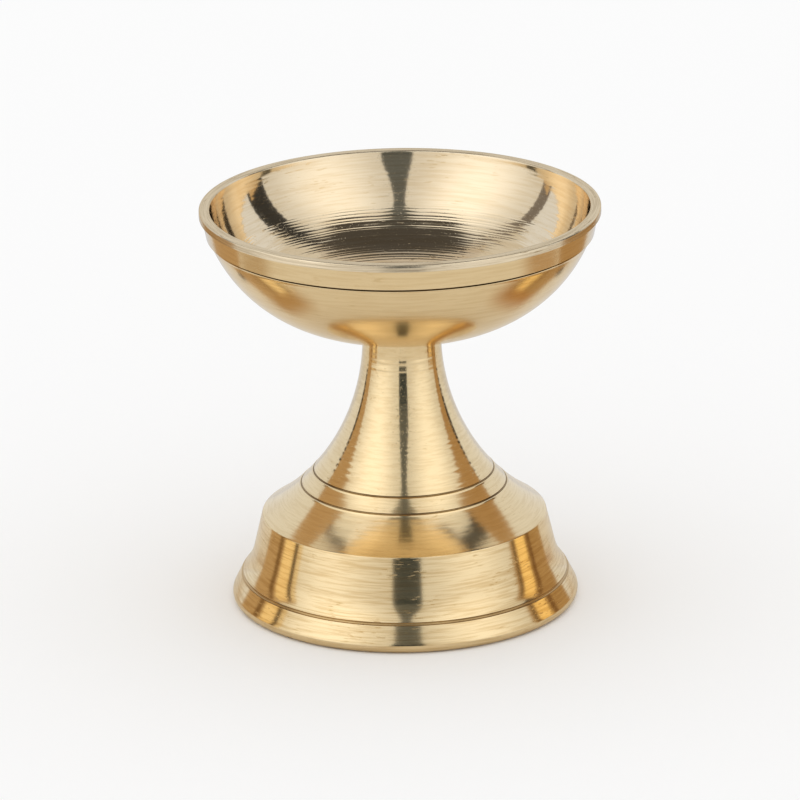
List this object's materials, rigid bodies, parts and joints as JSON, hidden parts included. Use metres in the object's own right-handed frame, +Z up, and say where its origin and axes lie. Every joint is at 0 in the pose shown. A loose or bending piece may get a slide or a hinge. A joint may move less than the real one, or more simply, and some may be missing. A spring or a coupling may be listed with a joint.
{
  "type": "butter lamp",
  "caption": "Turned brass butter lamp: a shallow bowl with a banded rim and a wick hole, drawn down onto a flared hollow stand by a stud, washer and nut.",
  "frame": {"origin": "centre of the foot ring, on the surface the lamp stands on", "axes": "+Z up along the turning axis; X and Y are free, since the lamp is round"},
  "size_m": [0.0706, 0.0706, 0.0726],
  "materials": {
    "stand_brass": "turned and polished, fine ring marks; as cast inside the foot",
    "bowl_brass": "turned and polished, ring marks inside the bowl",
    "fixing_brass": "machined, slightly dulled"
  },
  "bodies": {
    "stand": {"stand": "stand_brass", "washer": "fixing_brass"},
    "bowl": {"bowl": "bowl_brass", "stud": "fixing_brass"},
    "nut": {"hex_nut": "fixing_brass"}
  },
  "joints": [
    {"name": "nut_turn", "type": "hinge", "parent": "stand", "child": "nut", "pos_m": [0, 0, 0.0336], "axis": [0, 0, -1], "range_deg": [0, 3150]},
    {"name": "bowl_lift", "type": "slide", "parent": "stand", "child": "bowl", "axis": [0, 0, 1], "range_m": [0, 0.007]}
  ],
  "couplings": [
    {"joint": "nut_turn", "follows": "bowl_lift", "rad_per_m": 7854}
  ]
}
